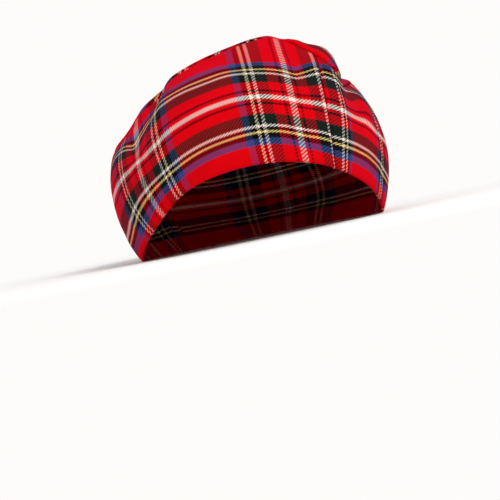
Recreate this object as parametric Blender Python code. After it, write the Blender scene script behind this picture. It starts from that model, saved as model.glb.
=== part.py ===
# Tam o shanter: a soft tartan cloth hat sewn from a front side panel, a back side panel and a
# round top panel. Metres, +Z up, -Y to the front of the hat, +X to the right seen from the front.
# The hat rests on the back half of its rim, and the front of the rim stands up in an arch.
# Angles are in degrees round the hat, 0 at the front and growing to the right.

from collections import namedtuple
from math import cos, degrees, pi, radians, sin

import bmesh
import bpy
from mathutils import Matrix, Vector

# Rim, the turned edge of the opening
RIM_WIDTH = 0.192
RIM_DEPTH = 0.200
ARCH_RISE = 0.058

# Crown seam, the oval line where the side panels meet the top panel
CROWN_WIDTH = 0.204
CROWN_DEPTH = 0.178
CROWN_RISE = 0.1490
CROWN_SETBACK = 0.066
CROWN_SHIFT = -0.004

# Fullness of the cloth between the rim and the crown seam, and on top
BELLY = 0.026
SAG = 0.012
TOP_PUFF = 0.014
SEAM_ROLL = 0.0016
FOLD_DEPTH = 0.009
FOLD_DROP = 0.007

# Cloth and sewing
CLOTH = 0.0020
HEM_CLOTH = 0.0030
HEM_HEIGHT = 0.014
HEM_STEP = 0.002
SEAM_GAP = 0.0004
FRONT_SEAM_RIM_ANGLE = 40.8
FRONT_SEAM_TOP_ANGLE = 43.2
BACK_SEAM_ANGLE = -139.0

# Shape of a side section: how the cloth leaves the rim and arrives at the seam
LEAN_POWER = 1.25
RISE_HASTE = 0.42
BELLY_POWER = 0.8
SHIFT_POWER = 0.5
TOP_EDGE_POWER = 2.2
TOP_FOLD_POWER = 5.0
ROLL_REACH = 0.05
LEVEL_REACH = 0.15

# Mesh counts
STATIONS = 84
FRONT_STATIONS = round(STATIONS * (FRONT_SEAM_TOP_ANGLE - BACK_SEAM_ANGLE) / 360)
HEIGHT_ROWS = 17
HEM_ROWS = 2
TOP_ROWS = 9
MERGE = 0.000001

# One section every 30 degrees round the hat. The shares are of ARCH_RISE, CROWN_RISE, BELLY
# and SAG, and smooth curves run from each section to the next.
Section = namedtuple("Section", "angle rim_lift crown_height belly sag")
SECTIONS = (
    Section(-150, 0.00, 0.54, 0.86, 0.70),
    Section(-120, 0.00, 0.54, 0.60, 0.40),
    Section(-90, 0.00, 0.58, 0.38, 0.05),
    Section(-60, 0.33, 0.65, 0.50, -0.20),
    Section(-30, 0.80, 0.87, 0.38, -0.15),
    Section(0, 0.94, 0.98, 0.30, 0.00),
    Section(30, 0.81, 1.00, 0.10, 0.05),
    Section(60, 0.45, 0.79, 0.44, 0.00),
    Section(90, 0.03, 0.65, 0.54, 0.00),
    Section(120, 0.00, 0.60, 0.62, 0.40),
    Section(150, 0.00, 0.55, 0.86, 0.70),
    Section(180, 0.00, 0.54, 1.00, 1.00),
)
SECTION_STEP = 360 / len(SECTIONS)

# A fold is a valley that starts at the crown seam and runs out at its foot on the side panel.
# Depth and drop are shares of FOLD_DEPTH and FOLD_DROP, and below zero they make a lobe.
Fold = namedtuple("Fold", "seam_angle foot_angle foot_share spread depth drop")
FOLDS = (
    Fold(-34, -52, 0.25, 11, 1.00, 0.20),
    Fold(-66, -64, 0.35, 14, -0.25, 0.20),
    Fold(65, 51, 0.15, 11, 0.40, 1.20),
    Fold(50, 44, 0.35, 12, -0.30, -0.90),
    Fold(30, 32, 0.30, 9, 0.40, 0.35),
    Fold(112, 118, 0.30, 13, 0.60, 0.30),
    Fold(152, 148, 0.20, 14, 0.55, 0.30),
    Fold(-122, -116, 0.25, 13, 0.60, 0.30),
    Fold(-165, -162, 0.30, 14, 0.45, 0.20),
)


def section_value(column, angle):
    """Smooth periodic curve through one column of the section table."""
    place = (angle - SECTIONS[0].angle) / SECTION_STEP
    first = int(place // 1)
    part = place - first
    before, here, after, beyond = (
        getattr(SECTIONS[(first + k) % len(SECTIONS)], column) for k in (-1, 0, 1, 2)
    )
    return here + 0.5 * part * (
        after - before
        + part * (2 * before - 5 * here + 4 * after - beyond)
        + part * part * (3 * (here - after) + beyond - before)
    )


def turned(angle):
    """The same angle between -180 and 180."""
    return (angle + 180) % 360 - 180


def fold_sum(angle, share, column):
    """Sum of all folds at one place on a side panel, in shares of the fold sizes."""
    total = 0.0
    for fold in FOLDS:
        reach = (share - fold.foot_share) / (1 - fold.foot_share)
        if reach <= 0:
            continue
        middle = fold.foot_angle + (fold.seam_angle - fold.foot_angle) * reach
        offset = turned(angle - middle) / fold.spread
        if abs(offset) < 1:
            fade = reach * reach * (3 - 2 * reach)
            total += getattr(fold, column) * fade * cos(pi / 2 * offset) ** 2
    return total


def oval_outward(angle, width, depth):
    """Level outward direction of an oval at an angle."""
    turn = radians(angle)
    return Vector((sin(turn) / width, -cos(turn) / depth, 0)).normalized()


def rim_point(angle):
    turn = radians(angle)
    lift = max(0.0, section_value("rim_lift", angle)) * ARCH_RISE
    return Vector((RIM_WIDTH / 2 * sin(turn), -RIM_DEPTH / 2 * cos(turn), lift))


def seam_point(angle):
    """Point on the crown seam before the folds."""
    turn = radians(angle)
    return Vector((
        CROWN_SHIFT + CROWN_WIDTH / 2 * sin(turn),
        CROWN_SETBACK - CROWN_DEPTH / 2 * cos(turn),
        CROWN_RISE * section_value("crown_height", angle),
    ))


def side_point(angle, share):
    """Outer face of the side cloth: share 0 is the rim, and share 1 the crown seam."""
    rim = rim_point(angle)
    seam = seam_point(angle)
    shift = CROWN_SHIFT * (share ** SHIFT_POWER - share ** LEAN_POWER)
    lean = share ** LEAN_POWER
    rise = share * (1 + RISE_HASTE * (1 - share))
    point = rim.lerp(seam, lean)
    point.x += shift
    point.z = rim.z + (seam.z - rim.z) * rise
    point.z -= SAG * section_value("sag", angle) * sin(pi * share)
    outward = oval_outward(angle, RIM_WIDTH, RIM_DEPTH)
    belly = BELLY * section_value("belly", angle) * sin(pi * share ** BELLY_POWER)
    point += outward * (belly - FOLD_DEPTH * fold_sum(angle, share, "depth"))
    point.z -= FOLD_DROP * fold_sum(angle, share, "drop")
    return point


def top_point(angle, share):
    """Outer face of the top cloth: share 0 is the crown seam, and share 1 the middle."""
    edge = seam_point(angle)
    front = seam_point(0)
    back = seam_point(180)
    middle = Vector((CROWN_SHIFT, CROWN_SETBACK, 0))
    folded = side_point(angle, 1) - edge
    point = edge.lerp(middle, share)
    slope = (back.z - front.z) / (back.y - front.y)
    plane_here = front.z + slope * (point.y - front.y)
    plane_edge = front.z + slope * (edge.y - front.y)
    fade = (1 - share) ** TOP_EDGE_POWER
    roll = SEAM_ROLL * min(1.0, share / ROLL_REACH)
    point.z = plane_here + (edge.z - plane_edge) * fade + TOP_PUFF * (1 - fade) + roll * (1 - share)
    return point + folded * (1 - share) ** TOP_FOLD_POWER


def inward(surface, angle, share):
    """Unit direction from the outer face of a cloth surface to its inner face."""
    step_angle = 0.5
    step_share = 0.01
    low = max(0.0, share - step_share)
    high = min(1.0, share + step_share)
    along = surface(angle + step_angle, share) - surface(angle - step_angle, share)
    up = surface(angle, high) - surface(angle, low)
    return up.cross(along).normalized()


def row_shares():
    """Height shares of the mesh rows: the hem, the step above it, then even rows."""
    pieces = 50
    height = sum(
        (side_point(0, (k + 1) / pieces) - side_point(0, k / pieces)).length
        for k in range(pieces)
    )
    hem = HEM_HEIGHT / height
    above = (HEM_HEIGHT + HEM_STEP) / height
    rows_above = HEIGHT_ROWS - HEM_ROWS - 1
    shares = [hem * row / HEM_ROWS for row in range(HEM_ROWS + 1)]
    return shares + [above + (1 - above) * row / rows_above for row in range(rows_above + 1)]


def side_inward(angle, share):
    """Level at the rim, so that the turned edge has a flat foot, then square to the cloth."""
    level = -oval_outward(angle, RIM_WIDTH, RIM_DEPTH)
    square = inward(side_point, angle, share)
    return level.lerp(square, min(1.0, share / LEVEL_REACH)).normalized()


def mitre(angle):
    """Mitre at the crown seam, and the direction square to it that opens the seam gap."""
    side = inward(side_point, angle, 1)
    top = inward(top_point, angle, 0)
    half = (side + top).normalized()
    along = side_point(angle + 0.5, 1) - side_point(angle - 0.5, 1)
    across = half.cross(along).normalized()
    if across.dot(top_point(angle, ROLL_REACH) - top_point(angle, 0)) < 0:
        across.negate()
    return half / max(0.5, half.dot(side)), across


def front_seam_angle(share):
    """Angle of the seam at the front, which swings out a little from the rim to the crown."""
    return FRONT_SEAM_RIM_ANGLE + (FRONT_SEAM_TOP_ANGLE - FRONT_SEAM_RIM_ANGLE) * share


def side_inner(angle, share, wall):
    """Inner face of a side panel, mitred at the crown seam."""
    if share == 1:
        return side_point(angle, 1) + wall * mitre(angle)[0]
    return side_point(angle, share) + wall * side_inward(angle, share)


def top_outer(angle, share):
    if share == 0:
        return side_point(angle, 1) + SEAM_GAP * mitre(angle)[1]
    return top_point(angle, share)


def top_inner(angle, share):
    if share == 0:
        half, across = mitre(angle)
        return side_point(angle, 1) + CLOTH * half + SEAM_GAP * across
    if share == 1:
        return top_point(angle, 1) - Vector((0, 0, CLOTH))
    return top_point(angle, share) + CLOTH * inward(top_point, angle, share)


def material(name, colour, roughness):
    shade = bpy.data.materials.new(name)
    shade.use_nodes = True
    principled = shade.node_tree.nodes["Principled BSDF"]
    principled.inputs["Base Color"].default_value = (*colour, 1)
    principled.inputs["Roughness"].default_value = roughness
    principled.inputs["Metallic"].default_value = 0.0
    shade.diffuse_color = (*colour, 1)
    return shade


def cloth_wall(name, columns, rows, outer, inner, shade):
    """A closed wall from a grid: its outer face, its inner face and the edges between them."""
    work = bmesh.new()
    bmesh.ops.create_grid(work, x_segments=columns, y_segments=rows, size=1)
    outside = work.verts[:]
    copy = bmesh.ops.duplicate(work, geom=work.verts[:] + work.edges[:] + work.faces[:])
    for vert in outside:
        across = round((vert.co.x + 1) / 2 * columns) / columns
        row = round((vert.co.y + 1) / 2 * rows)
        vert.co = outer(across, row)
        copy["vert_map"][vert].co = inner(across, row)
    inner_faces = [item for item in copy["geom"] if isinstance(item, bmesh.types.BMFace)]
    bmesh.ops.reverse_faces(work, faces=inner_faces)
    bmesh.ops.remove_doubles(work, verts=work.verts, dist=MERGE)
    bmesh.ops.bridge_loops(work, edges=[edge for edge in work.edges if edge.is_boundary])
    bmesh.ops.recalc_face_normals(work, faces=work.faces)
    mesh = bpy.data.meshes.new(name)
    work.to_mesh(mesh)
    work.free()
    mesh.materials.append(shade)
    mesh.shade_smooth()
    mesh.set_sharp_from_angle(angle=radians(50))
    piece = bpy.data.objects.new(name, mesh)
    bpy.context.collection.objects.link(piece)
    return piece


def side_panel(name, columns, start, end, shade):
    """A side panel between two seams, whose angles are functions of the height share."""
    half_gap = degrees(SEAM_GAP / CROWN_DEPTH)

    def angle_at(across, row):
        low = start(ROW_SHARES[row]) + half_gap
        high = end(ROW_SHARES[row]) - half_gap
        return low + (high - low) * across

    def outer(across, row):
        return side_point(angle_at(across, row), ROW_SHARES[row])

    def inner(across, row):
        wall = HEM_CLOTH if row <= HEM_ROWS else CLOTH
        return side_inner(angle_at(across, row), ROW_SHARES[row], wall)

    return cloth_wall(name, columns, HEIGHT_ROWS, outer, inner, shade)


def crown_angle(across):
    """Angle of a station on the crown seam, at the same places as on the side panels."""
    station = across * STATIONS
    if station <= FRONT_STATIONS:
        part = station / FRONT_STATIONS
        return BACK_SEAM_ANGLE + part * (FRONT_SEAM_TOP_ANGLE - BACK_SEAM_ANGLE)
    part = (station - FRONT_STATIONS) / (STATIONS - FRONT_STATIONS)
    return FRONT_SEAM_TOP_ANGLE + part * (BACK_SEAM_ANGLE + 360 - FRONT_SEAM_TOP_ANGLE)


def top_panel(name, shade):
    return cloth_wall(
        name, STATIONS, TOP_ROWS,
        lambda across, row: top_outer(crown_angle(across), row / TOP_ROWS),
        lambda across, row: top_inner(crown_angle(across), row / TOP_ROWS),
        shade,
    )


def stand_on_origin(pieces):
    """Move the hat so that the middle of its outline, seen from above, is on the origin."""
    corners = [vert.co for piece in pieces for vert in piece.data.vertices]
    middle_x = (min(c.x for c in corners) + max(c.x for c in corners)) / 2
    middle_y = (min(c.y for c in corners) + max(c.y for c in corners)) / 2
    for piece in pieces:
        piece.data.transform(Matrix.Translation((-middle_x, -middle_y, 0)))


for item in list(bpy.data.objects):
    bpy.data.objects.remove(item, do_unlink=True)

ROW_SHARES = row_shares()
FRONT_CLOTH = material("tartan_wool_front", (0.55, 0.02, 0.03), 0.85)
BACK_CLOTH = material("tartan_wool_back", (0.40, 0.015, 0.03), 0.85)
TOP_CLOTH = material("tartan_wool_top", (0.48, 0.03, 0.05), 0.85)
stand_on_origin((
    side_panel(
        "front_panel", FRONT_STATIONS,
        lambda share: BACK_SEAM_ANGLE, front_seam_angle, FRONT_CLOTH,
    ),
    side_panel(
        "back_panel", STATIONS - FRONT_STATIONS,
        front_seam_angle, lambda share: BACK_SEAM_ANGLE + 360, BACK_CLOTH,
    ),
    top_panel("top_panel", TOP_CLOTH),
))
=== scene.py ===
# Tam o shanter: a soft hat of red tartan wool twill, cut as a front side panel, a back side
# panel and a round top panel, and sewn up with a turned hem. It rests on the back half of its
# rim. Metres, +Z up, -Y to the front of the hat, +X to the right seen from the front.

from collections import namedtuple
from functools import partial
from math import cos, pi, radians, sin

import bmesh
import bpy
from mathutils import Matrix, Vector, noise


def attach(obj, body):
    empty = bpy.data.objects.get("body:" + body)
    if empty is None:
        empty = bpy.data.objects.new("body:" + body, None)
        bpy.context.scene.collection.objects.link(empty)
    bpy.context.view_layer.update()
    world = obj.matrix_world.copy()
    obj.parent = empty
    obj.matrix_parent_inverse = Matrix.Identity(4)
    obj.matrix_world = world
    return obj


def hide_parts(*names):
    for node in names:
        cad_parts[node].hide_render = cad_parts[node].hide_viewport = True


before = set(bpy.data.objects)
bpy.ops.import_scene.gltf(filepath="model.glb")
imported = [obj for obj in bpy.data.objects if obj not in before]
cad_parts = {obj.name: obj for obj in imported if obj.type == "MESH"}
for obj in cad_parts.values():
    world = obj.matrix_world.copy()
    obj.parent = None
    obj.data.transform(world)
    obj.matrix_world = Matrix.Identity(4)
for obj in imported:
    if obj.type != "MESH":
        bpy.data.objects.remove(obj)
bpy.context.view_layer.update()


# Front panel. The long side piece that goes round the front and the left of the head opening.
# It is wool twill, cut with its stripes upright, turned up at the rim and sewn into the crown
# seam with a few soft folds where the fullness of the crown is taken in.

# Where the middle of the rim oval is, seen from above
RIM_MIDDLE = Vector((0.0007, -0.0273, 0.0))

RIM_WIDTH = 0.192
RIM_DEPTH = 0.200
ARCH_RISE = 0.058
CROWN_WIDTH = 0.204
CROWN_DEPTH = 0.178
CROWN_RISE = 0.1490
CROWN_SETBACK = 0.066
CROWN_SHIFT = -0.004
BELLY = 0.026
SAG = 0.012
FOLD_DEPTH = 0.009
FOLD_DROP = 0.007
LEAN_POWER = 1.25
RISE_HASTE = 0.42
BELLY_POWER = 0.8
SHIFT_POWER = 0.5

# Shares of ARCH_RISE, CROWN_RISE, BELLY and SAG every 30 degrees round the hat
Section = namedtuple("Section", "angle rim_lift crown_height belly sag")
SECTIONS = (
    Section(-150, 0.00, 0.54, 0.86, 0.70),
    Section(-120, 0.00, 0.54, 0.60, 0.40),
    Section(-90, 0.00, 0.58, 0.38, 0.05),
    Section(-60, 0.33, 0.65, 0.50, -0.20),
    Section(-30, 0.80, 0.87, 0.38, -0.15),
    Section(0, 0.94, 0.98, 0.30, 0.00),
    Section(30, 0.81, 1.00, 0.10, 0.05),
    Section(60, 0.45, 0.79, 0.44, 0.00),
    Section(90, 0.03, 0.65, 0.54, 0.00),
    Section(120, 0.00, 0.60, 0.62, 0.40),
    Section(150, 0.00, 0.55, 0.86, 0.70),
    Section(180, 0.00, 0.54, 1.00, 1.00),
)
SECTION_STEP = 360 / len(SECTIONS)

# Valleys that start at the crown seam and run out at their foot on the side
Fold = namedtuple("Fold", "seam_angle foot_angle foot_share spread depth drop")
FOLDS = (
    Fold(-34, -52, 0.25, 11, 1.00, 0.20),
    Fold(-66, -64, 0.35, 14, -0.25, 0.20),
    Fold(65, 51, 0.15, 11, 0.40, 1.20),
    Fold(50, 44, 0.35, 12, -0.30, -0.90),
    Fold(30, 32, 0.30, 9, 0.40, 0.35),
    Fold(112, 118, 0.30, 13, 0.60, 0.30),
    Fold(152, 148, 0.20, 14, 0.55, 0.30),
    Fold(-122, -116, 0.25, 13, 0.60, 0.30),
    Fold(-165, -162, 0.30, 14, 0.45, 0.20),
)

# Seams between the front and the back panel
FRONT_SEAM_RIM_ANGLE = 40.8
FRONT_SEAM_TOP_ANGLE = 43.2
BACK_SEAM_ANGLE = -139.0

# How far below the top edge of the side the crown seam runs, as a share of the side's height.
# On the right it dips, and the top panel shows above it.
SeamDip = namedtuple("SeamDip", "angle dip")
SEAM_DIPS = (
    SeamDip(31, 0.00),
    SeamDip(37, 0.08),
    SeamDip(42, 0.145),
    SeamDip(46, 0.21),
    SeamDip(50, 0.25),
    SeamDip(53, 0.25),
    SeamDip(58, 0.12),
    SeamDip(64, 0.01),
    SeamDip(72, 0.00),
)

SIDE_HEIGHT = 0.128
CLOTH_PER_DEGREE = 0.0018

# Where the check falls on the sewn side. Low, white and high are the shares of the side's height
# at which the low pair of lines, the white line and the high pair run. Rim and crown are places
# on the cut cloth in metres up from the white line, and across is one along it from an upright
# white line. Lean is how many degrees an upright line moves round on its way up from the rim.
Mark = namedtuple("Mark", "angle across rim low white high crown lean")
FRONT_MARKS = (
    Mark(-139.0, -0.3180, -0.055, 0.200, 0.440, 0.660, 0.070, 0.0),
    Mark(-95.0, -0.2370, -0.050, 0.150, 0.440, 0.680, 0.065, 0.0),
    Mark(-75.0, -0.2010, -0.048, 0.124, 0.450, 0.740, 0.060, 0.0),
    Mark(-62.5, -0.1775, -0.048, 0.142, 0.458, 0.830, 0.050, 0.0),
    Mark(-58.0, -0.1688, -0.049, 0.162, 0.456, 0.790, 0.052, 0.0),
    Mark(-52.5, -0.1545, -0.050, 0.176, 0.446, 0.690, 0.060, 0.0),
    Mark(-48.0, -0.1430, -0.051, 0.177, 0.440, 0.612, 0.066, 0.0),
    Mark(-44.5, -0.1348, -0.052, 0.176, 0.416, 0.690, 0.064, 0.0),
    Mark(-40.5, -0.1250, -0.053, 0.173, 0.400, 0.745, 0.058, 0.0),
    Mark(-35.0, -0.1120, -0.054, 0.169, 0.397, 0.718, 0.058, 0.0),
    Mark(-30.0, -0.1020, -0.055, 0.171, 0.414, 0.742, 0.058, 0.0),
    Mark(-20.0, -0.0828, -0.057, 0.190, 0.436, 0.726, 0.059, 0.0),
    Mark(-9.0, -0.0620, -0.059, 0.202, 0.450, 0.714, 0.060, 0.0),
    Mark(0.0, -0.0446, -0.059, 0.210, 0.454, 0.705, 0.067, 0.0),
    Mark(8.4, -0.0284, -0.059, 0.210, 0.443, 0.665, 0.079, 0.0),
    Mark(17.0, -0.0138, -0.058, 0.198, 0.415, 0.624, 0.088, 0.0),
    Mark(25.3, 0.0000, -0.055, 0.180, 0.389, 0.589, 0.092, 0.0),
    Mark(30.5, 0.0092, -0.054, 0.173, 0.380, 0.584, 0.090, 0.0),
    Mark(35.0, 0.0166, -0.053, 0.176, 0.384, 0.620, 0.086, 0.0),
    Mark(40.3, 0.0255, -0.053, 0.176, 0.394, 0.664, 0.082, 0.0),
    Mark(44.5, 0.0330, -0.053, 0.172, 0.402, 0.676, 0.080, 0.0),
)
# How far the middle of each pair is from the white line on the cut cloth, and the share of the
# side's height over which the lean grows from nothing
PAIR_HEIGHT = 0.0284
LEAN_SHARE = 0.45

CLOTH = 0.0013
HEM_GAP = 0.0028
HEM_HEIGHT = 0.014
SEAM_ROLL_WIDTH = 0.0030
SEAM_ROLL_DEPTH = 0.0016
WRINKLE = 0.0007
WRINKLE_SIZE = 0.030
PUCKER = 0.00025
PUCKER_SIZE = 0.009
# Shares of the side's height: below the first the cloth turns in level for the hem, and the
# wrinkles fade in over the second from the rim and out over the third below the crown seam
LEVEL_SHARE = 0.15
WRINKLE_IN = 0.12
WRINKLE_OUT = 0.05

# Steps between points when the direction of a surface is worked out
ANGLE_STEP = 0.5
SHARE_STEP = 0.01


def section_value(column, angle):
    """Smooth periodic curve through one column of the section table."""
    place = (angle - SECTIONS[0].angle) / SECTION_STEP
    first = int(place // 1)
    part = place - first
    before, here, after, beyond = (
        getattr(SECTIONS[(first + k) % len(SECTIONS)], column) for k in (-1, 0, 1, 2)
    )
    return here + 0.5 * part * (
        after - before
        + part * (2 * before - 5 * here + 4 * after - beyond)
        + part * part * (3 * (here - after) + beyond - before)
    )


def smooth_value(marks, column, angle):
    """Smooth curve through one column of a table of marks, which grow in angle."""
    last = len(marks) - 1
    first = max(k for k in range(last) if k == 0 or marks[k].angle <= angle)
    slopes = []
    for k in (first, first + 1):
        low, high = marks[max(0, k - 1)], marks[min(last, k + 1)]
        slopes.append((getattr(high, column) - getattr(low, column)) / (high.angle - low.angle))
    here, after = marks[first], marks[first + 1]
    width = after.angle - here.angle
    part = (angle - here.angle) / width
    if part < 0 or part > 1:
        end = here if part < 0 else after
        return getattr(end, column) + slopes[part > 1] * (angle - end.angle)
    ease = part * part * (3 - 2 * part)
    return (
        getattr(here, column) * (1 - ease) + getattr(after, column) * ease
        + slopes[0] * width * part * (1 - part) ** 2
        - slopes[1] * width * part * part * (1 - part)
    )


def turned(angle):
    """The same angle between -180 and 180."""
    return (angle + 180) % 360 - 180


def crown_share(angle):
    """Share of the side's height at which the crown seam runs."""
    place = turned(angle)
    if place <= SEAM_DIPS[0].angle or place >= SEAM_DIPS[-1].angle:
        return 1.0
    return 1.0 - smooth_value(SEAM_DIPS, "dip", place)


def fold_sum(angle, share, column):
    """Sum of all folds at one place on the side, in shares of the fold sizes."""
    total = 0.0
    for fold in FOLDS:
        reach = (share - fold.foot_share) / (1 - fold.foot_share)
        if reach <= 0:
            continue
        middle = fold.foot_angle + (fold.seam_angle - fold.foot_angle) * reach
        offset = turned(angle - middle) / fold.spread
        if abs(offset) < 1:
            fade = reach * reach * (3 - 2 * reach)
            total += getattr(fold, column) * fade * cos(pi / 2 * offset) ** 2
    return total


def oval_outward(angle):
    turn = radians(angle)
    return Vector((sin(turn) / RIM_WIDTH, -cos(turn) / RIM_DEPTH, 0)).normalized()


def rim_point(angle):
    turn = radians(angle)
    lift = max(0.0, section_value("rim_lift", angle)) * ARCH_RISE
    return Vector((RIM_WIDTH / 2 * sin(turn), -RIM_DEPTH / 2 * cos(turn), lift))


def seam_point(angle):
    """Point on the crown seam before the folds."""
    turn = radians(angle)
    return Vector((
        CROWN_SHIFT + CROWN_WIDTH / 2 * sin(turn),
        CROWN_SETBACK - CROWN_DEPTH / 2 * cos(turn),
        CROWN_RISE * section_value("crown_height", angle),
    ))


def side_point(angle, share):
    """Outer face of the side: share 0 is the rim, and share 1 the crown seam."""
    rim = rim_point(angle)
    seam = seam_point(angle)
    lean = share ** LEAN_POWER
    point = rim.lerp(seam, lean)
    point.x += CROWN_SHIFT * (share ** SHIFT_POWER - lean)
    point.z = rim.z + (seam.z - rim.z) * share * (1 + RISE_HASTE * (1 - share))
    point.z -= SAG * section_value("sag", angle) * sin(pi * share)
    belly = BELLY * section_value("belly", angle) * sin(pi * share ** BELLY_POWER)
    point += oval_outward(angle) * (belly - FOLD_DEPTH * fold_sum(angle, share, "depth"))
    point.z -= FOLD_DROP * fold_sum(angle, share, "drop")
    return point


def inward(surface, angle, share):
    """Unit direction from the outer face of a cloth surface to its inner face."""
    low = max(0.0, share - SHARE_STEP)
    high = min(1.0, share + SHARE_STEP)
    along = surface(angle + ANGLE_STEP, share) - surface(angle - ANGLE_STEP, share)
    up = surface(angle, high) - surface(angle, low)
    return up.cross(along).normalized()


def wrinkled(place, fade):
    """Small in and out of soft cloth at a place, in metres."""
    wide = noise.noise(place / WRINKLE_SIZE) * WRINKLE
    fine = noise.noise(place / PUCKER_SIZE) * PUCKER
    return (wide + fine) * fade


def roll_down(distance, width):
    """From 0 on the open cloth to 1 at the stitches, as a quarter round."""
    if distance >= width:
        return 0.0
    part = 1 - max(0.0, distance) / width
    return 1 - (1 - part * part) ** 0.5


def front_seam_angle(share):
    """Angle of the seam at the front, which swings out a little from the rim to the crown."""
    return FRONT_SEAM_RIM_ANGLE + (FRONT_SEAM_TOP_ANGLE - FRONT_SEAM_RIM_ANGLE) * share


def back_seam_angle(share):
    """The seam at the back is upright, and has the same angle at every share."""
    return BACK_SEAM_ANGLE


def side_face(angle, share, edge_distance):
    """The side with its wrinkles, and rolled in at its seams."""
    point = side_point(angle, share)
    inner = inward(side_point, angle, share)
    if share < LEVEL_SHARE:
        level = -oval_outward(angle)
        inner = level.lerp(inner, share / LEVEL_SHARE).normalized()
    fade = min(1.0, share / WRINKLE_IN) * min(1.0, (1 - share) / WRINKLE_OUT)
    point -= inner * wrinkled(point, fade)
    point += inner * SEAM_ROLL_DEPTH * roll_down(edge_distance, SEAM_ROLL_WIDTH)
    return point, inner


def side_cloth_place(angle, height, edge_distance):
    """A place on the side from its height along the cloth. Below 0 is the turned-up hem."""
    fold = HEM_GAP / 2
    if height >= fold:
        point, inner = side_face(angle, height / SIDE_HEIGHT, edge_distance)
        below = crown_share(angle) * SIDE_HEIGHT - height
        return point + inner * SEAM_ROLL_DEPTH * roll_down(below, SEAM_ROLL_WIDTH)
    share = fold / SIDE_HEIGHT
    outer, inner = side_face(angle, share, edge_distance)
    down = side_point(angle, 0) - side_point(angle, share)
    down = (down - inner * down.dot(inner)).normalized()
    arc = pi * fold
    if height > fold - arc:
        turn = (fold - height) / fold
        return outer + inner * fold * (1 - cos(turn)) + down * fold * sin(turn)
    back = fold - arc - height + fold
    point, inner = side_face(angle, back / SIDE_HEIGHT, edge_distance)
    return point + inner * HEM_GAP


def node(tree, kind, links=None, settings=None, values=None):
    """Add a node. Settings are its properties, values its sockets, links the sockets it reads."""
    made = tree.nodes.new(kind)
    for key, value in (settings or {}).items():
        setattr(made, key, value)
    for key, value in (values or {}).items():
        made.inputs[key].default_value = value
    for key, source in (links or {}).items():
        tree.links.new(source, made.inputs[key])
    return made


def colour(hex_code):
    """sRGB hex to linear colour with alpha."""
    channels = [int(hex_code[k:k + 2], 16) / 255 for k in (1, 3, 5)]
    linear = [c / 12.92 if c <= 0.04045 else ((c + 0.055) / 1.055) ** 2.4 for c in channels]
    return (*linear, 1.0)


# Tartan wool twill, woven in the piece from dyed yarn. A twill shows each crossing of two colours
# as fine hatching that rises to the right, and here the weft covers more of the face than the
# warp. The real yarn is about 0.4 mm apart, too fine to show in the render, so it is drawn
# 0.65 mm apart. Its soft hair gives a matt face with a faint bluish red sheen at the edges.
# The weft shows by the low share in a dip of the hatching and by the high share on its ribs, and
# each yarn sways as it goes over and under, so narrow lines look notched. The ribs are drawn
# 4.4 yarns apart, where the weave has 4.
YARN = 0.00065
TWILL_REPEAT = 4.4
HATCH_LOW = 0.36
HATCH_HIGH = 0.93
WEFT_SWAY = 2.2
WARP_SWAY = 0.8
HAIR_BLEND = 1.7
YARN_COLOURS = {
    "red": "#CC0209",
    "white": "#DBD2C5",
    "black": "#060506",
    "green": "#0C1E17",
    "yellow": "#E3C974",
    "blue": "#2F3F78",
}
# The yellow of the warp is a paler dye lot
PALE_YELLOW = "#DFD6AA"
# Threads from the middle of the white line to the middle of the broad red, then mirrored. The
# light lines have one thread more in the warp than in the weft.
WEFT_COUNT = (
    ("white", 3), ("red", 5), ("black", 3), ("red", 13), ("green", 13), ("black", 1),
    ("white", 3), ("black", 5), ("yellow", 3), ("black", 7), ("blue", 9), ("red", 43),
)
WARP_COUNT = (
    ("white", 4), ("red", 4), ("black", 3), ("red", 13), ("green", 13),
    ("white", 4), ("black", 4), ("yellow", 4), ("black", 7), ("blue", 9), ("red", 43),
)
HALF_SETT = sum(count for name, count in WEFT_COUNT)


def sett_colours(tree, thread, thread_count, dyes):
    """Yarn colour of a thread from its number, counted from a white line."""
    place = node(
        tree, "ShaderNodeMath", {0: thread}, {"operation": "PINGPONG"}, {1: HALF_SETT}
    )
    share = node(
        tree, "ShaderNodeMath", {0: place.outputs[0]}, {"operation": "DIVIDE"}, {1: HALF_SETT}
    )
    ramp = node(tree, "ShaderNodeValToRGB", {0: share.outputs[0]})
    ramp.color_ramp.interpolation = "CONSTANT"
    start = 0
    for number, (name, count) in enumerate(thread_count):
        if number < 2:
            stop = ramp.color_ramp.elements[number]
            stop.position = start / HALF_SETT
        else:
            stop = ramp.color_ramp.elements.new(start / HALF_SETT)
        stop.color = colour(dyes[name])
        start += count
    return ramp.outputs[0]


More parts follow.
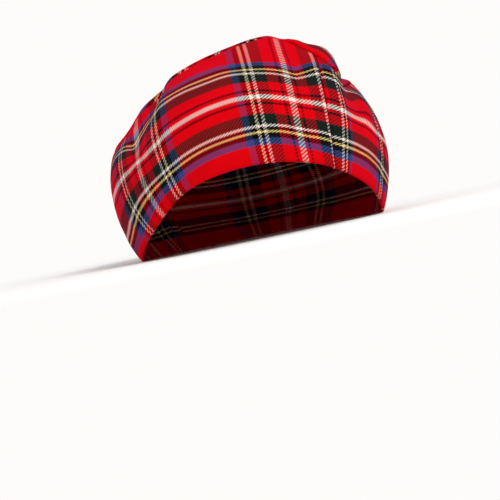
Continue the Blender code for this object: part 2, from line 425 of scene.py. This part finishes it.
def tartan_twill(name):
    shade = bpy.data.materials.new(name)
    shade.use_nodes = True
    tree = shade.node_tree
    principled = tree.nodes["Principled BSDF"]
    uv = node(tree, "ShaderNodeUVMap", settings={"uv_map": "cloth"})
    split = node(tree, "ShaderNodeSeparateXYZ", {0: uv.outputs[0]})
    across, up = (
        node(
            tree, "ShaderNodeMath", {0: split.outputs[axis]}, {"operation": "DIVIDE"}, {1: YARN}
        ).outputs[0]
        for axis in (0, 1)
    )
    # The hatching follows the diagonal of the cloth, and the swing lags it by half a rib
    diagonal = node(tree, "ShaderNodeMath", {0: across, 1: up}, {"operation": "SUBTRACT"})
    repeat = node(
        tree, "ShaderNodeMath", {0: diagonal.outputs[0]}, {"operation": "DIVIDE"},
        {1: TWILL_REPEAT / 2},
    )
    hatch = node(
        tree, "ShaderNodeMath", {0: repeat.outputs[0]}, {"operation": "PINGPONG"}, {1: 1.0}
    )
    later = node(tree, "ShaderNodeMath", {0: repeat.outputs[0]}, {"operation": "ADD"}, {1: 0.5})
    swing = node(
        tree, "ShaderNodeMath", {0: later.outputs[0]}, {"operation": "PINGPONG"}, {1: 1.0}
    )
    numbers = []
    for count, sway in ((across, -WARP_SWAY), (up, WEFT_SWAY)):
        swayed = node(
            tree, "ShaderNodeMath", {0: swing.outputs[0], 2: count},
            {"operation": "MULTIPLY_ADD"}, {1: sway},
        )
        whole = node(tree, "ShaderNodeMath", {0: swayed.outputs[0]}, {"operation": "FLOOR"})
        middle = node(
            tree, "ShaderNodeMath", {0: whole.outputs[0]}, {"operation": "ADD"}, {1: 0.5}
        )
        numbers.append(middle.outputs[0])
    end_middle, pick_middle = numbers
    pale = {**YARN_COLOURS, "yellow": PALE_YELLOW}
    warp = sett_colours(tree, end_middle, WARP_COUNT, pale)
    weft = sett_colours(tree, pick_middle, WEFT_COUNT, YARN_COLOURS)
    # The ribs have soft edges
    weft_up = node(
        tree, "ShaderNodeMapRange", {0: hatch.outputs[0]},
        values={1: 0.25, 2: 0.75, 3: HATCH_LOW, 4: HATCH_HIGH},
    )
    # Dark yarn shows through the hairs of light yarn, so the two blend darker than their mean
    soft_warp, soft_weft = (
        node(tree, "ShaderNodeGamma", {0: dye}, values={1: 1 / HAIR_BLEND}).outputs[0]
        for dye in (warp, weft)
    )
    blended = node(
        tree, "ShaderNodeMix", {0: weft_up.outputs[0], 6: soft_warp, 7: soft_weft},
        {"data_type": "RGBA"},
    )
    woven = node(
        tree, "ShaderNodeGamma", {0: blended.outputs[2]}, values={1: HAIR_BLEND}
    )
    # Each yarn takes the dye a little differently, and so do larger patches of the cloth
    yarn_noise = node(
        tree, "ShaderNodeTexNoise", {0: uv.outputs[0]}, values={"Scale": 900.0, "Detail": 2.0}
    )
    cloth_noise = node(
        tree, "ShaderNodeTexNoise", {0: uv.outputs[0]}, values={"Scale": 38.0, "Detail": 3.0}
    )
    uneven = node(
        tree, "ShaderNodeMath", {0: yarn_noise.outputs[0], 1: cloth_noise.outputs[0]},
        {"operation": "ADD"},
    )
    tone = node(
        tree, "ShaderNodeMapRange", {0: uneven.outputs[0]},
        values={1: 0.6, 2: 1.4, 3: 0.86, 4: 1.10},
    )
    toned = node(
        tree, "ShaderNodeVectorMath", {0: woven.outputs[0], 3: tone.outputs[0]},
        {"operation": "SCALE"},
    )
    tree.links.new(toned.outputs[0], principled.inputs["Base Color"])
    # Each yarn stands up as a rounded ridge where it floats
    ridges = []
    for count in (across, up):
        part = node(tree, "ShaderNodeMath", {0: count}, {"operation": "FRACT"})
        arch = node(
            tree, "ShaderNodeMath", {0: part.outputs[0]}, {"operation": "MULTIPLY"}, {1: pi}
        )
        ridges.append(
            node(tree, "ShaderNodeMath", {0: arch.outputs[0]}, {"operation": "SINE"}).outputs[0]
        )
    height = node(
        tree, "ShaderNodeMix", {0: weft_up.outputs[0], 2: ridges[0], 3: ridges[1]},
        {"data_type": "FLOAT"},
    )
    bump = node(
        tree, "ShaderNodeBump", {"Height": height.outputs[0]},
        values={"Strength": 0.35, "Distance": 0.0002},
    )
    tree.links.new(bump.outputs[0], principled.inputs["Normal"])
    principled.inputs["Roughness"].default_value = 0.9
    principled.inputs["Specular IOR Level"].default_value = 0.02
    principled.inputs["Sheen Weight"].default_value = 0.06
    principled.inputs["Sheen Roughness"].default_value = 0.5
    principled.inputs["Sheen Tint"].default_value = colour("#FF26B3")
    return shade


SAME_POINT = 0.000001


def cloth_piece(name, columns, rows, place, flat, shade):
    """A cloth panel from a grid: place gives each point, and flat its place on the cut cloth.

    Cloth that would reach under the floor lies flat on it.
    """
    work = bmesh.new()
    bmesh.ops.create_grid(work, x_segments=columns, y_segments=rows, size=1)
    layer = work.loops.layers.uv.new("cloth")
    shares = {vert: ((vert.co.x + 1) / 2, (vert.co.y + 1) / 2) for vert in work.verts}
    for face in work.faces:
        for loop in face.loops:
            loop[layer].uv = flat(*shares[loop.vert])
    for vert, (across, up) in shares.items():
        vert.co = place(across, up) + RIM_MIDDLE
        vert.co.z = max(0.0, vert.co.z)
    bmesh.ops.remove_doubles(work, verts=work.verts, dist=SAME_POINT)
    mesh = bpy.data.meshes.new(name)
    work.to_mesh(mesh)
    work.free()
    mesh.materials.append(shade)
    mesh.shade_smooth()
    piece = bpy.data.objects.new(name, mesh)
    bpy.context.collection.objects.link(piece)
    wall = piece.modifiers.new("cloth", "SOLIDIFY")
    wall.thickness = CLOTH
    wall.offset = -1.0
    return piece


def side_span(start, end, across, height):
    """Angle of a place on a side panel, and its distance from the nearer end seam."""
    share = max(0.0, height) / SIDE_HEIGHT
    low = start(share)
    high = end(share)
    angle = low + (high - low) * across
    edge = min(across, 1 - across) * (high - low) * CLOTH_PER_DEGREE
    return angle, edge


def side_height(angle, up):
    """Height along the cloth, from the free edge of the hem inside to the crown seam."""
    hem = -(pi - 1) * HEM_GAP / 2 - HEM_HEIGHT
    return hem + (SIDE_HEIGHT * crown_share(angle) - hem) * up


def side_place(start, end, across, up):
    """Angle, height and distance from the nearer end seam of a place on a side panel."""
    guess = start(up) + (end(up) - start(up)) * across
    height = side_height(guess, up)
    angle, edge = side_span(start, end, across, height)
    return angle, side_height(angle, up), edge


def front_place(across, up):
    return side_cloth_place(*side_place(back_seam_angle, front_seam_angle, across, up))


def flat_place(marks, angle, height):
    """Place on the cut cloth, across and up from the crossing of two white lines."""
    share = height / SIDE_HEIGHT
    knots = [(0.0, smooth_value(marks, "rim", angle))]
    knots.append((smooth_value(marks, "low", angle), -PAIR_HEIGHT))
    knots.append((smooth_value(marks, "white", angle), 0.0))
    knots.append((smooth_value(marks, "high", angle), PAIR_HEIGHT))
    knots.append((1.0, smooth_value(marks, "crown", angle)))
    for (low, flat_low), (high, flat_high) in zip(knots, knots[1:]):
        if share <= high:
            break
    up = flat_low + (flat_high - flat_low) * (share - low) / (high - low)
    lean = smooth_value(marks, "lean", angle) * min(1.0, max(0.0, share) / LEAN_SHARE)
    return smooth_value(marks, "across", angle - lean), up


def front_flat(across, up):
    angle, height = side_place(back_seam_angle, front_seam_angle, across, up)[:2]
    return flat_place(FRONT_MARKS, angle, height)


twill = tartan_twill("tartan_wool_twill")
front_panel = cloth_piece("front_panel_cloth", 260, 110, front_place, front_flat, twill)
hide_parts("front_panel")
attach(front_panel, "root")


# Back panel. The side piece that goes round the right and the back, of the same cloth. Its
# check meets that of the front panel at the right seam, where it sits a little lower.
BACK_MARKS = (
    Mark(41.0, 0.0200, -0.052, 0.168, 0.396, 0.640, 0.080, 4.8),
    Mark(45.8, 0.0284, -0.052, 0.171, 0.408, 0.655, 0.080, 4.8),
    Mark(50.5, 0.0460, -0.053, 0.174, 0.420, 0.672, 0.078, 4.0),
    Mark(54.0, 0.0575, -0.053, 0.177, 0.423, 0.700, 0.072, 3.0),
    Mark(60.0, 0.0740, -0.053, 0.174, 0.418, 0.860, 0.045, 1.0),
    Mark(64.0, 0.0850, -0.052, 0.168, 0.396, 0.955, 0.035, 0.0),
    Mark(66.5, 0.0920, -0.052, 0.165, 0.384, 0.915, 0.040, -1.0),
    Mark(68.5, 0.0970, -0.052, 0.162, 0.380, 0.800, 0.050, -1.6),
    Mark(70.0, 0.1010, -0.052, 0.160, 0.378, 0.715, 0.058, -2.2),
    Mark(72.5, 0.1070, -0.052, 0.155, 0.378, 0.640, 0.066, -2.6),
    Mark(74.6, 0.1120, -0.052, 0.150, 0.378, 0.618, 0.070, -3.0),
    Mark(80.0, 0.1240, -0.052, 0.150, 0.390, 0.620, 0.072, -3.0),
    Mark(110.0, 0.1800, -0.053, 0.170, 0.430, 0.650, 0.072, 0.0),
    Mark(180.0, 0.3060, -0.055, 0.200, 0.440, 0.660, 0.070, 0.0),
    Mark(221.0, 0.3800, -0.055, 0.200, 0.440, 0.660, 0.070, 0.0),
)


def far_seam_angle(share):
    """The seam at the back again, as reached the other way round the hat."""
    return BACK_SEAM_ANGLE + 360


def back_place(across, up):
    return side_cloth_place(*side_place(front_seam_angle, far_seam_angle, across, up))


def back_flat(across, up):
    angle, height = side_place(front_seam_angle, far_seam_angle, across, up)[:2]
    return flat_place(BACK_MARKS, angle, height)


back_panel = cloth_piece("back_panel_cloth", 240, 110, back_place, back_flat, twill)
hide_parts("back_panel")
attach(back_panel, "root")


# Top panel. The round piece that closes the crown, of the same cloth cut on the straight. It
# falls away to the back, and its edge rolls down into the crown seam.
TOP_PUFF = 0.014
TOP_EDGE_POWER = 2.2
TOP_FOLD_POWER = 5.0
TOP_ROUNDING = 0.012
TOP_STEP = 0.001
TOP_WRINKLE_IN = 0.008
TOP_TURN = radians(-5)
TOP_ACROSS = 0.012
TOP_UP = 0.105


def top_point(angle, share):
    """Outer face of the top: share 0 is the crown seam, and share 1 the middle."""
    edge = seam_point(angle)
    front = seam_point(0)
    back = seam_point(180)
    folded = side_point(angle, 1) - edge
    point = edge.lerp(Vector((CROWN_SHIFT, CROWN_SETBACK, 0)), share)
    slope = (back.z - front.z) / (back.y - front.y)
    plane_here = front.z + slope * (point.y - front.y)
    plane_edge = front.z + slope * (edge.y - front.y)
    fade = (1 - share) ** TOP_EDGE_POWER
    point.z = plane_here + (edge.z - plane_edge) * fade + TOP_PUFF * (1 - fade)
    return point + folded * (1 - share) ** TOP_FOLD_POWER


def top_spot(across, up):
    """Angle of a place on the top, how far in it is from the seam, and the depth of the dip."""
    angle = BACK_SEAM_ANGLE + 360 * across
    dip = (1 - crown_share(angle)) * SIDE_HEIGHT
    return angle, up * (dip + CROWN_WIDTH / 2), dip


def top_surface(angle, distance, dip):
    """Outer face of the top at a distance from its seam, over the rounded edge of the side."""
    past = distance - dip
    if dip == 0:
        return top_point(angle, past / (CROWN_WIDTH / 2))
    ease = min(TOP_ROUNDING, dip) * 0.5
    if past > ease:
        return top_point(angle, past / (CROWN_WIDTH / 2))
    if past < -ease:
        return side_point(angle, 1 + past / SIDE_HEIGHT)
    part = (past + ease) / (2 * ease)
    start = side_point(angle, 1 - ease / SIDE_HEIGHT)
    corner = side_point(angle, 1)
    end = top_point(angle, ease / (CROWN_WIDTH / 2))
    return start.lerp(corner, part).lerp(corner.lerp(end, part), part)


def top_place(across, up):
    angle, distance, dip = top_spot(across, up)
    if up == 1:
        return top_point(angle, 1)
    point = top_surface(angle, distance, dip)
    low = top_surface(angle, max(0.0, distance - TOP_STEP), dip)
    high = top_surface(angle, distance + TOP_STEP, dip)
    before = top_surface(angle - ANGLE_STEP, distance, dip)
    after = top_surface(angle + ANGLE_STEP, distance, dip)
    inner = (high - low).cross(after - before).normalized()
    point -= inner * wrinkled(point, min(1.0, distance / TOP_WRINKLE_IN) * (1 - up))
    rise = min(1.0, distance / SEAM_ROLL_WIDTH) * (1 - up) ** 2
    return point + inner * SEAM_ROLL_DEPTH * (roll_down(distance, SEAM_ROLL_WIDTH) - rise)


def top_flat(across, up):
    angle, distance, dip = top_spot(across, up)
    turn = radians(angle) + TOP_TURN
    reach = dip + CROWN_WIDTH / 2 - distance
    return TOP_ACROSS + reach * sin(turn), TOP_UP - reach * cos(turn)


top_panel = cloth_piece("top_panel_cloth", 300, 90, top_place, top_flat, twill)
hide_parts("top_panel")
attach(top_panel, "root")


# Seam allowances. The cut edges of the panels inside the hat: pressed open along the two side
# seams, from the hem up, and turned down all round under the crown seam.
ALLOWANCE = 0.010
ALLOWANCE_GAP = 0.0004
CROWN_STITCHES = 0.0035
EDGE_CLEARANCE = 0.001


def allowance_spot(angle, height, edge_distance):
    """A place just inside the side, and the same place on the cut cloth."""
    point, inner = side_face(angle, height / SIDE_HEIGHT, edge_distance)
    marks = FRONT_MARKS if angle <= FRONT_SEAM_TOP_ANGLE else BACK_MARKS
    return point + inner * (CLOTH + ALLOWANCE_GAP), flat_place(marks, angle, height)


def open_allowance(seam, across, up):
    """Across and up one pair of seam edges that is pressed open."""
    low = HEM_HEIGHT + EDGE_CLEARANCE
    crown = crown_share(seam(1)) * SIDE_HEIGHT
    top = crown - CROWN_STITCHES - ALLOWANCE - EDGE_CLEARANCE
    height = low + (top - low) * up
    offset = (2 * across - 1) * ALLOWANCE
    angle = seam(height / SIDE_HEIGHT) + offset / CLOTH_PER_DEGREE
    return allowance_spot(angle, height, abs(offset))


def crown_allowance(across, up):
    """Across, round the hat, and up the seam edge that is turned down under the crown seam."""
    angle = BACK_SEAM_ANGLE + 360 * across
    below = CROWN_STITCHES + ALLOWANCE * (1 - up)
    return allowance_spot(angle, crown_share(angle) * SIDE_HEIGHT - below, SEAM_ROLL_WIDTH)


Allowance = namedtuple("Allowance", "name seam columns rows length")
ALLOWANCES = (
    Allowance("front_seam_allowance", front_seam_angle, 16, 80, 0.085),
    Allowance("back_seam_allowance", back_seam_angle, 16, 80, 0.100),
    Allowance("crown_seam_allowance", None, 360, 10, 0.650),
)
for strip in ALLOWANCES:
    spot = partial(open_allowance, strip.seam) if strip.seam else crown_allowance
    piece = cloth_piece(
        strip.name, strip.columns, strip.rows,
        lambda across, up: spot(across, up)[0],
        lambda across, up: spot(across, up)[1],
        twill,
    )
    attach(piece, "root")


# Floor. A plain pale sweep without an edge: matt near the hat, so that it takes a soft shadow,
# and as bright as the backdrop further out.
BACKDROP = "#FEFCFA"
FLOOR_REACH = 14.0
MATT_WITHIN = 0.14
BRIGHT_BEYOND = 0.50

work = bmesh.new()
bmesh.ops.create_circle(work, cap_ends=True, segments=96, radius=FLOOR_REACH)
floor_mesh = bpy.data.meshes.new("floor")
work.to_mesh(floor_mesh)
work.free()
floor = bpy.data.objects.new("floor", floor_mesh)
bpy.context.collection.objects.link(floor)
paper = bpy.data.materials.new("white_paper_sweep")
paper.use_nodes = True
tree = paper.node_tree
matt = tree.nodes["Principled BSDF"]
matt.inputs["Base Color"].default_value = colour("#FFFEFC")
matt.inputs["Roughness"].default_value = 0.9
matt.inputs["Specular IOR Level"].default_value = 0.0
glow = node(
    tree, "ShaderNodeEmission", values={"Color": colour(BACKDROP), "Strength": 1.0}
)
place = node(tree, "ShaderNodeTexCoord")
reach = node(
    tree, "ShaderNodeVectorMath", {0: place.outputs["Object"]}, {"operation": "LENGTH"}
)
fade = node(
    tree, "ShaderNodeMapRange", {0: reach.outputs["Value"]},
    {"interpolation_type": "SMOOTHSTEP"}, {1: MATT_WITHIN, 2: BRIGHT_BEYOND, 3: 0.0, 4: 1.0},
)
blend = node(
    tree, "ShaderNodeMixShader", {0: fade.outputs[0], 1: matt.outputs[0], 2: glow.outputs[0]}
)
tree.links.new(blend.outputs[0], tree.nodes["Material Output"].inputs["Surface"])
floor_mesh.materials.append(paper)


# Studio light. A large soft box high on the right, a weaker one on the left, and an even
# backdrop that lights the room from all sides.
ROOM_LIGHT = 0.62

world = bpy.data.worlds.new("studio")
bpy.context.scene.world = world
world.use_nodes = True
tree = world.node_tree
tree.nodes.clear()
ray = node(tree, "ShaderNodeLightPath")
seen = node(tree, "ShaderNodeBackground", values={"Color": colour(BACKDROP), "Strength": 1.0})
lit = node(
    tree, "ShaderNodeBackground", values={"Color": colour("#FBFCFF"), "Strength": ROOM_LIGHT}
)
choice = node(
    tree, "ShaderNodeMixShader",
    {0: ray.outputs["Is Camera Ray"], 1: lit.outputs[0], 2: seen.outputs[0]},
)
node(tree, "ShaderNodeOutputWorld", {"Surface": choice.outputs[0]})

SoftBox = namedtuple("SoftBox", "name width place aim power tint")
SOFT_BOXES = (
    SoftBox("key_box", 0.9, (0.75, -1.15, 1.25), (0.0, 0.0, 0.09), 20.0, "#FFFDFA"),
    SoftBox("fill_box", 1.2, (-1.3, -0.9, 0.55), (0.0, 0.0, 0.07), 4.0, "#FAFBFF"),
)
for box in SOFT_BOXES:
    data = bpy.data.lights.new(box.name, "AREA")
    data.shape = "DISK"
    data.size = box.width
    data.energy = box.power
    data.color = colour(box.tint)[:3]
    lamp = bpy.data.objects.new(box.name, data)
    bpy.context.collection.objects.link(lamp)
    lamp.location = box.place
    toward = Vector(box.aim) - Vector(box.place)
    lamp.rotation_euler = toward.to_track_quat("-Z", "Y").to_euler()


# Camera. Level with the hat and a little above the floor, turned so that the right of the hat
# is the higher side of the picture, as in the photograph.
VIEW_POINT = Vector((-0.0119, -0.0274, -0.0077))
VIEW_DISTANCE = 1.5
VIEW_WIDTH = 0.390
VIEW_HEIGHT_ANGLE = radians(1.5)
VIEW_ROLL = radians(11.58)

camera_data = bpy.data.cameras.new("camera")
camera_data.sensor_width = 36.0
camera_data.lens = 36.0 * VIEW_DISTANCE / VIEW_WIDTH
camera = bpy.data.objects.new("camera", camera_data)
bpy.context.collection.objects.link(camera)
back = Vector((0, -cos(VIEW_HEIGHT_ANGLE), sin(VIEW_HEIGHT_ANGLE)))
level_turn = (-back).to_track_quat("-Z", "Y").to_matrix().to_4x4()
camera.matrix_world = (
    Matrix.Translation(VIEW_POINT + back * VIEW_DISTANCE)
    @ level_turn
    @ Matrix.Rotation(-VIEW_ROLL, 4, "Z")
)
camera_data.clip_start = 0.05
camera_data.clip_end = 60.0
bpy.context.scene.camera = camera
bpy.context.scene.view_settings.view_transform = "Standard"
